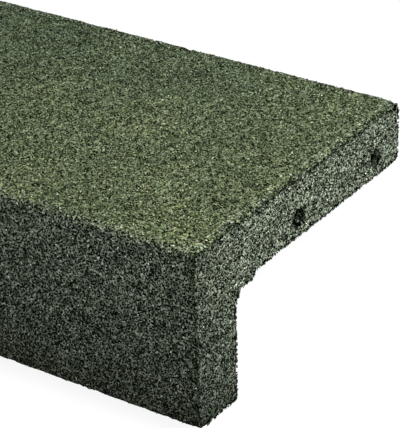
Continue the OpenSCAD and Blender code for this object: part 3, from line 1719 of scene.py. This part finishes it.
@dataclass
class NodeBoard:
    """A material's or a world's nodes, with short ways to add and join them."""

    tree: bpy.types.NodeTree

    def add(self, kind: str, **settings: object) -> bpy.types.Node:
        """Adds a node.

        Args:
            kind: the node's type, without ShaderNode before it.
            settings: its properties.

        Returns:
            The new node.
        """
        node = self.tree.nodes.new("ShaderNode" + kind)
        for name, value in settings.items():
            setattr(node, name, value)
        return node

    def join(self, source: object, socket: bpy.types.NodeSocket) -> None:
        """Gives a socket its value.

        Args:
            source: another socket to link it to, or the value itself.
            socket: the socket.
        """
        if isinstance(source, bpy.types.NodeSocket):
            self.tree.links.new(source, socket)
        else:
            socket.default_value = source

    def math(self, operation: str, first: object, second: object = 0.0) -> Socket:
        """Adds a Math node.

        Args:
            operation: the Math node's operation.
            first: its first value, a socket or a number.
            second: its second value, a socket or a number.

        Returns:
            The result.
        """
        node = self.add("Math", operation=operation)
        self.join(first, node.inputs[0])
        self.join(second, node.inputs[1])
        return node.outputs[0]

    def product(self, first: object, *others: object) -> Socket:
        """Multiplies values together.

        Args:
            first: the first one, a socket or a number.
            others: the others.

        Returns:
            The product.
        """
        for other in others:
            first = self.math("MULTIPLY", first, other)
        return first

    def span(
        self, value: object, given: tuple[object, object], wanted: tuple[object, object]
    ) -> Socket:
        """Moves a value from one range to another and holds it there.

        Args:
            value: the value.
            given: the range that it comes in.
            wanted: the range that it goes out in.

        Returns:
            The moved value.
        """
        node = self.add("MapRange", clamp=True)
        names = ("Value", "From Min", "From Max", "To Min", "To Max")
        for source, name in zip((value, *given, *wanted), names):
            self.join(source, node.inputs[name])
        return node.outputs["Result"]

    def between(self, share: object, ends: tuple[object, object]) -> Socket:
        """Returns a value that goes from the first end to the second as the share goes to 1."""
        return self.span(share, WHOLE, ends)

    def blend(self, way: str, share: object, first: object, second: object) -> Socket:
        """Mixes two colours.

        Args:
            way: the Mix node's blend type.
            share: how much of the second is mixed in.
            first: the first colour.
            second: the second colour.

        Returns:
            The mixed colour.
        """
        node = self.add("Mix", data_type="RGBA", blend_type=way)
        for source, number in zip((share, first, second), MIX_INPUTS):
            self.join(source, node.inputs[number])
        return node.outputs[MIX_OUTPUT]

    def noise(self, where: object, size: float, detail: float = 2.0) -> Socket:
        """Adds a noise.

        Args:
            where: its coordinates, in metres.
            size: the size of its blotches.
            detail: how many finer layers it has.

        Returns:
            Its value, about 0.5 on average.
        """
        node = self.add("TexNoise")
        self.join(where, node.inputs["Vector"])
        node.inputs["Scale"].default_value = 1 / size
        node.inputs["Detail"].default_value = detail
        return node.outputs["Fac"]

    def cells(self, where: Socket, size: float) -> tuple[Socket, Socket, Socket]:
        """Adds cells, one to a granule.

        Args:
            where: the place to read them at.
            size: the usual distance between cells, in metres.

        Returns:
            The distance from the cell's middle, and two random shares for each cell.
        """
        node = self.add("TexVoronoi", feature="F1")
        node.inputs["Scale"].default_value = 1 / size
        self.join(where, node.inputs["Vector"])
        parts = self.add("SeparateColor")
        self.join(node.outputs["Color"], parts.inputs[0])
        return node.outputs["Distance"], parts.outputs[0], parts.outputs[1]

    def measured(self, where: Socket, way: np.ndarray) -> Socket:
        """Adds how far a place lies along a direction.

        Args:
            where: the place.
            way: the direction.

        Returns:
            The distance.
        """
        node = self.add("VectorMath", operation="DOT_PRODUCT")
        self.join(where, node.inputs[0])
        node.inputs[1].default_value = way
        return node.outputs["Value"]

    def ramp(self, value: object, stops: list[tuple[float, Colour]]) -> Socket:
        """Adds a colour ramp.

        Args:
            value: what it is read at.
            stops: its places and colours.

        Returns:
            The colour.
        """
        node = self.add("ValToRGB")
        elements = node.color_ramp.elements
        while len(elements) < len(stops):
            elements.new(0.5)
        for element, (place, colour) in zip(elements, stops):
            element.position = place
            element.color = (*colour, 1.0)
        self.join(value, node.inputs[0])
        return node.outputs[0]


@dataclass(frozen=True)
class Reading:
    """What the finish reads at each place of the block's surface.

    depth, tone and crown are the meshes' own values. pit and pit_size are the distance from
    the middle of a granule's cell and a share of its own, and speck_tone and speck_hue are
    shares of finer cells. patch and broad are blotches. nearness goes from 0 at the middle of
    the top's rear edge to 1 at its right front corner, and along is the place along the block.
    """

    board: NodeBoard
    where: Socket
    depth: Socket
    tone: Socket
    crown: Socket
    pit: Socket
    pit_size: Socket
    speck_tone: Socket
    speck_hue: Socket
    patch: Socket
    broad: Socket
    nearness: Socket
    along: Socket

    def by_crown(self, side: Pair, top: Pair) -> tuple[Socket, Socket]:
        """Adds two limits that change from the sides' values to the top's."""
        low, high = (self.board.between(self.crown, ends) for ends in zip(side, top))
        return low, high

    def mottle(self, noise: Socket, swing: Pair) -> Socket:
        """Adds a light and dark mottling.

        Args:
            noise: the noise that it follows.
            swing: how far it goes either way on the sides and on the top.

        Returns:
            The factor for the brightness.
        """
        side, top = ((1 - part, 1 + part) for part in swing)
        return self.board.span(noise, NOISE_SPAN, self.by_crown(side, top))


@dataclass(frozen=True)
class GranulateFinish:
    """Bonded rubber granulate: dull dark granules of many shades, with painted shade in the gaps.

    The shades are picked by the granules' own tones and by finer specks, a few of which
    spark or stay dull. Where a value has two numbers for the block's faces, the first is for
    the sides and the second for the top. The top's and the sides' pairs from far to near are
    their brightness far from and near to the right front corner; on the top this is painted
    light. Painted shade darkens the block towards its foot, and end_shade is the painted shade
    of the ends at their front and behind it.
    """

    name: str = "rubber_granulate"
    top: float = 0.170
    side: float = 0.320
    top_tint: Colour = (-0.035, 0.030, -0.066)
    side_tint: Colour = (-0.025, 0.017, -0.059)
    # near-black painted shade for the gaps between granules and for deep places
    gap: Colour = (0.0005, 0.0016, 0.0002)
    places: tuple[float, ...] = (0.0, 0.3, 0.62, 0.83, 0.92, 1.0)
    top_steps: tuple[float, ...] = (0.28, 0.86, 1.2, 1.7, 2.0, 2.8)
    side_steps: tuple[float, ...] = (0.28, 0.9, 1.22, 1.6, 1.85, 2.3)
    tint_share: float = 1.3
    tint_loss: float = 0.2
    tint_palest: float = 2.5
    top_shares: Pair = (0.1, 1.6)
    side_shares: Pair = (0.3, 2.2)
    tone_shares: Pair = (1.0, 0.3)
    speck_share: float = 1.4
    cell: float = 1.5 * MM
    speck: float = 1.05 * MM
    patch: float = 9 * MM
    broad: float = 70 * MM
    top_pits: Pair = (0.2, 0.66)
    side_pits: Pair = (0.41, 0.70)
    pit_blur: float = 0.05
    worn_tones: Pair = (0.95, 1.35)
    worn_fill: float = 0.35
    # depths in millimetres over which painted shade darkens deeper places
    sunk_mm: Pair = (0.5, 1.8)
    patchy: Pair = (0.02, 0.06)
    cloudy: Pair = (0.0, 0.1)
    spark: float = 2.2
    spark_hues: Pair = (0.95, 0.97)
    dull: float = 0.25
    dull_hues: Pair = (0.04, 0.06)
    yellow: Colour = (1.28, 1.05, 0.8)
    yellow_blotches: Pair = (0.45, 0.68)
    yellow_blotch: float = 0.15
    yellow_near: float = 0.58
    cool_tint: Colour = (0.97, 1.0, 1.035)
    warm_tint: Colour = (1.03, 1.0, 0.965)
    warm_shares: Pair = (0.3, 0.9)
    warm_patch: float = 16 * MM
    warm_patchy: float = 4.0
    warm_hues: Pair = (1.6, 3.4)
    slant: Pair = (0.55, 0.83)
    # painted light on the top, brighter near the right front corner
    top_far_near: Pair = (0.95, 1.10)
    side_far_near: Pair = (1.03, 0.93)
    # painted shade, darker towards the foot
    foot_light: float = 0.03
    rise_power: float = 0.33
    # painted shade on the ends, darker at the front
    end_shade: Pair = (0.66, 1.10)
    end_shade_reach: float = 0.07
    end_skin: Pair = (4 * MM, 1 * MM)
    roughness: Pair = (0.62, 0.9)
    specular: float = 0.02
    bump: float = 0.6
    bump_height: float = 0.3 * MM
    bump_size: float = 0.7 * MM

    def shades(
        self, level: float, steps: tuple[float, ...], tint: Colour
    ) -> list[tuple[float, Colour]]:
        """Lists the shades of a face's granules, all with the same tint.

        Args:
            level: the usual brightness.
            steps: the brightness of each shade beside it.
            tint: what the shades' display values have over a grey of the same brightness.

        Returns:
            The ramp's places and colours, from the darkest granules to the palest.
        """
        colours = []
        for step in steps:
            shown = (level * step) ** (1 / DISPLAY_POWER)
            share = self.tint_share - self.tint_loss * min(step, self.tint_palest)
            colours.append(tuple(max(0.0, shown + share * part) ** DISPLAY_POWER for part in tint))
        return list(zip(self.places, colours))

    def read(self, board: NodeBoard, pose: RestPose, section: Section) -> Reading:
        """Adds everything that is read at each place.

        Args:
            board: the material's nodes.
            pose: the block's pose at rest.
            section: the block's section.

        Returns:
            The readings.
        """
        where = board.add("TexCoord").outputs["Object"]
        depth, tone, crown = (
            board.add("Attribute", attribute_name=name).outputs["Fac"]
            for name in ("depth", "tone", "crown")
        )
        pit, pit_size, _ = board.cells(where, self.cell)
        _, speck_tone, speck_hue = board.cells(where, self.speck)
        parts = board.add("SeparateXYZ")
        board.join(where, parts.inputs[0])
        slant = np.array(self.slant)
        front = float(pose.corner @ pose.back)
        ends = slant @ ((0.0, section.half_length), (-front - section.depth, -front))
        nearness = board.measured(where, slant[0] * ALONG - slant[1] * pose.back)
        return Reading(
            board,
            where,
            depth,
            tone,
            crown,
            pit,
            pit_size,
            speck_tone,
            speck_hue,
            patch=board.noise(where, self.patch),
            broad=board.noise(where, self.broad),
            nearness=board.span(nearness, tuple(map(float, ends)), WHOLE),
            along=parts.outputs["X"],
        )

    def colour(self, read: Reading) -> Socket:
        """Adds the granules' colours.

        Args:
            read: what is read at each place.

        Returns:
            The colour before it is lightened or darkened.
        """
        board = read.board
        tone = board.product(read.tone, board.between(read.crown, self.tone_shares))
        shade = board.math("ADD", tone, board.product(read.speck_tone, self.speck_share))
        limits = read.by_crown(self.side_shares, self.top_shares)
        shade = board.span(shade, limits, WHOLE)
        top = board.ramp(shade, self.shades(self.top, self.top_steps, self.top_tint))
        side = board.ramp(shade, self.shades(self.side, self.side_steps, self.side_tint))
        yellowed = board.math(
            "ADD",
            board.span(read.broad, self.yellow_blotches, (0.0, self.yellow_blotch)),
            board.between(read.nearness, (0.0, self.yellow_near)),
        )
        top = board.blend("MULTIPLY", yellowed, top, (*self.yellow, 1.0))
        patches = board.product(board.noise(read.where, self.warm_patch), self.warm_patchy)
        warm = board.span(board.math("ADD", read.speck_hue, patches), self.warm_hues, WHOLE)
        tint = board.blend("MIX", warm, (*self.cool_tint, 1.0), (*self.warm_tint, 1.0))
        colour = board.blend("MIX", read.crown, side, top)
        return board.blend("MULTIPLY", board.between(read.crown, self.warm_shares), colour, tint)

    def light(self, read: Reading, pose: RestPose, section: Section) -> Socket:
        """Adds how light the granules are beside their usual colours, painted light and shade
        included.

        Args:
            read: what is read at each place.
            pose: the block's pose at rest.
            section: the block's section.

        Returns:
            The factor for the colour.
        """
        board = read.board
        on_side = board.span(read.along, (0.0, section.half_length), self.side_far_near)
        # painted light on the top, brighter near the right front corner
        on_top = board.between(read.nearness, self.top_far_near)
        foot = float(pose.corner @ pose.up)
        # painted shade, darker towards the foot
        raised = board.measured(read.where, pose.up)
        raised = board.span(raised, (foot, foot + section.height), (self.foot_light, 1.0))
        return board.product(
            read.mottle(read.patch, self.patchy),
            read.mottle(read.broad, self.cloudy),
            board.span(read.speck_hue, self.spark_hues, (1.0, self.spark)),
            board.span(read.speck_hue, self.dull_hues, (self.dull, 1.0)),
            board.between(read.crown, (on_side, on_top)),
            board.math("POWER", raised, self.rise_power),
            self.end_light(read, pose),
        )

    def end_light(self, read: Reading, pose: RestPose) -> Socket:
        """Adds the painted shade of the end faces, darker at the front than behind it.

        Args:
            read: what is read at each place.
            pose: the block's pose at rest.

        Returns:
            The factor, 1 away from the ends.
        """
        board = read.board
        front = float(pose.corner @ pose.back)
        behind = board.measured(read.where, pose.back)
        behind = board.span(behind, (front, front + self.end_shade_reach), self.end_shade)
        start, full = (float(CAD_BOUNDS[1][0]) - reach for reach in self.end_skin)
        on_end = board.span(board.math("ABSOLUTE", read.along), (start, full), WHOLE)
        on_end = board.product(on_end, board.math("SUBTRACT", 1.0, read.crown))
        return board.between(on_end, (1.0, behind))

    def hollow(self, read: Reading) -> Socket:
        """Adds where painted shade darkens the surface: the gaps between granules and deep places.

        Args:
            read: what is read at each place.

        Returns:
            1 in the gaps and deep places and 0 on the granules.
        """
        board = read.board
        wide = board.between(read.pit_size, read.by_crown(self.side_pits, self.top_pits))
        pit = board.math("SUBTRACT", wide, read.pit)
        fill = board.span(read.tone, self.worn_tones, (0.0, self.worn_fill))
        pit = board.math("SUBTRACT", pit, fill)
        pit = board.span(pit, (-self.pit_blur, self.pit_blur), WHOLE)
        # painted shade: the deeper a place lies, the darker
        return board.math("MAXIMUM", pit, board.span(read.depth, self.sunk_mm, WHOLE))

    def make(self, pose: RestPose, section: Section) -> bpy.types.Material:
        """Makes the material.

        Args:
            pose: the block's pose at rest.
            section: the block's section.

        Returns:
            The node material that every piece wears.
        """
        material = bpy.data.materials.new(self.name)
        material.use_nodes = True
        board = NodeBoard(material.node_tree)
        read = self.read(board, pose, section)
        lit = board.add("VectorMath", operation="SCALE")
        board.join(self.colour(read), lit.inputs[0])
        board.join(self.light(read, pose, section), lit.inputs["Scale"])
        # painted shade: the gaps and deep places are mixed towards near black
        colour = board.blend("MIX", self.hollow(read), lit.outputs[0], (*self.gap, 1.0))
        shader = material.node_tree.nodes["Principled BSDF"]
        board.join(colour, shader.inputs["Base Color"])
        board.join(board.span(read.patch, NOISE_SPAN, self.roughness), shader.inputs["Roughness"])
        shader.inputs["Specular IOR Level"].default_value = self.specular
        bump = board.add("Bump")
        bump.inputs["Strength"].default_value = self.bump
        bump.inputs["Distance"].default_value = self.bump_height
        board.join(board.noise(read.where, self.bump_size, detail=3.0), bump.inputs["Height"])
        board.join(bump.outputs["Normal"], shader.inputs["Normal"])
        return material


@dataclass(frozen=True)
class LaidCamera:
    """The camera's place and turn in laid coordinates.

    corner_right, corner_up and corner_away are how far the block's top front corner at the
    right end lies to the right of the camera's axis, above it and in front of the camera.
    """

    azimuth: float = math.radians(35.249)
    elevation: float = math.radians(28.642)
    roll: float = math.radians(-1.884)
    corner_right: float = -0.003785
    corner_up: float = -0.028267
    corner_away: float = 1.5069
    lens: float = 179.7

    def place(self, section: Section, pose: RestPose) -> None:
        """Makes the scene's camera.

        Args:
            section: the block's section.
            pose: the block's pose at rest.
        """
        flat = math.cos(self.elevation)
        behind = np.array(
            [
                math.sin(self.azimuth) * flat,
                -math.cos(self.azimuth) * flat,
                math.sin(self.elevation),
            ]
        )
        level = unit(np.cross(-behind, [0.0, 0.0, 1.0]))
        over = np.cross(level, -behind)
        cos, sin = math.cos(self.roll), math.sin(self.roll)
        right = cos * level + sin * over
        up = cos * over - sin * level
        corner = np.array([section.half_length, 0.0, section.height])
        spot = corner - self.corner_right * right - self.corner_up * up
        spot = spot + self.corner_away * behind
        turned = pose.turn(np.stack([right, up, behind]))
        matrix = np.eye(4)
        matrix[:3, :3] = turned.T
        matrix[:3, 3] = pose.to_part(spot[None])[0]
        data = bpy.data.cameras.new("view_camera")
        data.lens = self.lens
        camera = bpy.data.objects.new("view_camera", data)
        camera.matrix_world = Matrix(matrix.tolist())
        bpy.context.scene.collection.objects.link(camera)
        bpy.context.scene.camera = camera


@dataclass(frozen=True)
class Studio:
    """A pale floor, a soft sky and one large soft lamp."""

    sky: float = 0.34
    key_power: float = 48.0
    key_way: tuple[float, float, float] = (0.84, -0.20, 0.52)
    key_aim: tuple[float, float, float] = (0.1, 0.0, 0.08)
    key_far: float = 2.0
    key_size: float = 1.2
    floor_size: float = 60.0
    floor_tone: float = 0.12
    floor_glow: float = 0.9
    floor_roughness: float = 0.9
    floor_specular: float = 0.1

    def build(self, pose: RestPose) -> None:
        """Makes the floor, the world and the lamp, and sets the view.

        Args:
            pose: the block's pose at rest.
        """
        self.build_floor()
        self.build_world()
        self.build_key(pose)
        bpy.context.scene.view_settings.view_transform = "Standard"

    @staticmethod
    def seen(board: NodeBoard) -> Socket:
        """Adds which rays show the background.

        Args:
            board: the nodes of the floor or of the world.

        Returns:
            1 for those rays and 0 for others.
        """
        outputs = board.add("LightPath").outputs
        direct = board.math("MAXIMUM", outputs["Is Camera Ray"], outputs["Is Glossy Ray"])
        return board.math("MAXIMUM", direct, outputs["Is Transmission Ray"])

    def build_floor(self) -> None:
        """Makes the floor under the block's lowest point."""
        half = self.floor_size / 2
        corners = [(-half, -half, 0), (half, -half, 0), (half, half, 0), (-half, half, 0)]
        mesh = bpy.data.meshes.new("floor")
        mesh.from_pydata(corners, [], [(0, 1, 2, 3)])
        floor = bpy.data.objects.new("floor", mesh)
        bpy.context.scene.collection.objects.link(floor)
        material = bpy.data.materials.new("pale_floor")
        material.use_nodes = True
        board = NodeBoard(material.node_tree)
        shader = material.node_tree.nodes["Principled BSDF"]
        shader.inputs["Base Color"].default_value = (*[self.floor_tone] * 3, 1.0)
        shader.inputs["Roughness"].default_value = self.floor_roughness
        shader.inputs["Specular IOR Level"].default_value = self.floor_specular
        shader.inputs["Emission Color"].default_value = WHITE
        glow = board.math("MULTIPLY", self.seen(board), self.floor_glow)
        board.join(glow, shader.inputs["Emission Strength"])
        mesh.materials.append(material)

    def build_world(self) -> None:
        """Makes an even sky that shows as white."""
        world = bpy.data.worlds.new("studio_world")
        world.use_nodes = True
        bpy.context.scene.world = world
        board = NodeBoard(world.node_tree)
        background = world.node_tree.nodes["Background"]
        background.inputs["Color"].default_value = WHITE
        strength = board.between(self.seen(board), (self.sky, 1.0))
        board.join(strength, background.inputs["Strength"])

    def build_key(self, pose: RestPose) -> None:
        """Makes the large soft lamp.

        Args:
            pose: the block's pose at rest.
        """
        way = unit(pose.turn(np.array([self.key_way])))[0]
        data = bpy.data.lights.new("key_lamp", "AREA")
        data.energy = self.key_power
        data.size = self.key_size
        lamp = bpy.data.objects.new("key_lamp", data)
        side = unit(np.cross([0.0, 0.0, 1.0], way))
        matrix = np.eye(4)
        matrix[:3, :3] = np.stack([side, np.cross(way, side), way]).T
        matrix[:3, 3] = np.array(self.key_aim) + way * self.key_far
        lamp.matrix_world = Matrix(matrix.tolist())
        lamp.visible_camera = False
        bpy.context.scene.collection.objects.link(lamp)


@dataclass
class EdgingBlock:
    """The whole block: its moulded body and the granules that stand in its faces."""

    section: Section
    pose: RestPose
    finish: GranulateFinish = GranulateFinish()

    @property
    def shared(self) -> tuple[Section, RestPose, EndEdge, Chips, Crown]:
        """What the body and every crust are made with."""
        section = self.section
        return section, self.pose, EndEdge(section), Chips(section), Crown(section)

    def crusts(self) -> list[GranuleCrust]:
        """Describes the crusts of all faces.

        Returns:
            The crusts, in the order that they are built in.
        """
        pressed = Grain.of_mm(3.2, (1.0, 1.7), 0.14, (0.0, 0.2, 1.5))
        crumbs = Grain.of_mm(3.35, (0.7, 1.3), 0.22, (0.0, 0.5, 1.5))
        rough = Grain.of_mm(2.35, (0.8, 1.6), 0.5, (0.0, 0.4, 2.0))
        cut = Grain.of_mm(1.7, (0.6, 1.3), 0.6, (0.0, 0.5, 2.0))
        medium = Grain.of_mm(2.9, (1.0, 1.9), 0.6, (-1.0, 1.6, 1.3))
        sparse = Grain.of_mm(7.4, (1.4, 2.8), 0.7, (-1.0, 1.6, 1.3))
        foot = Grain.of_mm(4.5, (1.2, 2.4), 0.7, (-0.2, 1.2, 1.3))
        crumbly = Grain.of_mm(1.95, (0.8, 1.6), 0.7, (0.0, 0.9, 2.5))
        teeth = Grain.of_mm(1.6, (0.9, 1.7), 0.5, (0.0, 0.9, 1.8), thickness=(0.6, 1.0))
        pebbles = Grain.of_mm(4.6, (1.6, 2.7), 0.4, (-0.3, 1.3, 1.2), slimness=(0.6, 1.0))
        hidden = {Face.UNDERSIDE: sparse, Face.LEG_BACK: sparse, Face.FOOT: foot}
        lots: list[tuple[str, int, dict[str, object]]] = [
            ("top_granules", 21, {"walls": {Face.TOP: pressed}}),
            ("top_crumbs", 26, {"walls": {Face.TOP: crumbs}}),
            ("front_granules", 22, {"walls": {Face.FRONT: rough}}),
            ("end_granules", 23, {"ends": cut}),
            ("edge_granules", 27, {"edges": crumbly, "rims": teeth}),
            ("foot_granules", 28, {"pebbles": pebbles}),
            ("rear_granules", 24, {"walls": {Face.REAR: medium}}),
            ("underside_granules", 25, {"walls": hidden}),
        ]
        return [GranuleCrust(*self.shared, name, seed, **where) for name, seed, where in lots]

    def build(self) -> list[bpy.types.Object]:
        """Builds and dresses every piece.

        Returns:
            The pieces, the body first.
        """
        body = MouldedBody(*self.shared).build()
        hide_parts(NODE)
        pieces = [body, *(crust.build() for crust in self.crusts())]
        material = self.finish.make(self.pose, self.section)
        for piece in pieces:
            piece.data.materials.append(material)
            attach(piece, BODY)
        return pieces


def main() -> None:
    """Builds the block and its studio."""
    logging.basicConfig(level=logging.INFO, format="%(name)s %(message)s")
    mounts = {mount["name"]: mount for mount in frame["record"]["mounts"]}
    mesh = frame["nodes"][NODE].data
    pose = RestPose.from_frame(mesh, mounts)
    section = Section.from_frame(mesh, pose, mounts)
    LaidCamera().place(section, pose)
    for piece in EdgingBlock(section, pose).build():
        log.info("%s: %d faces", piece.name, len(piece.data.polygons))
    Studio().build(pose)


if __name__ == "__main__":
    main()
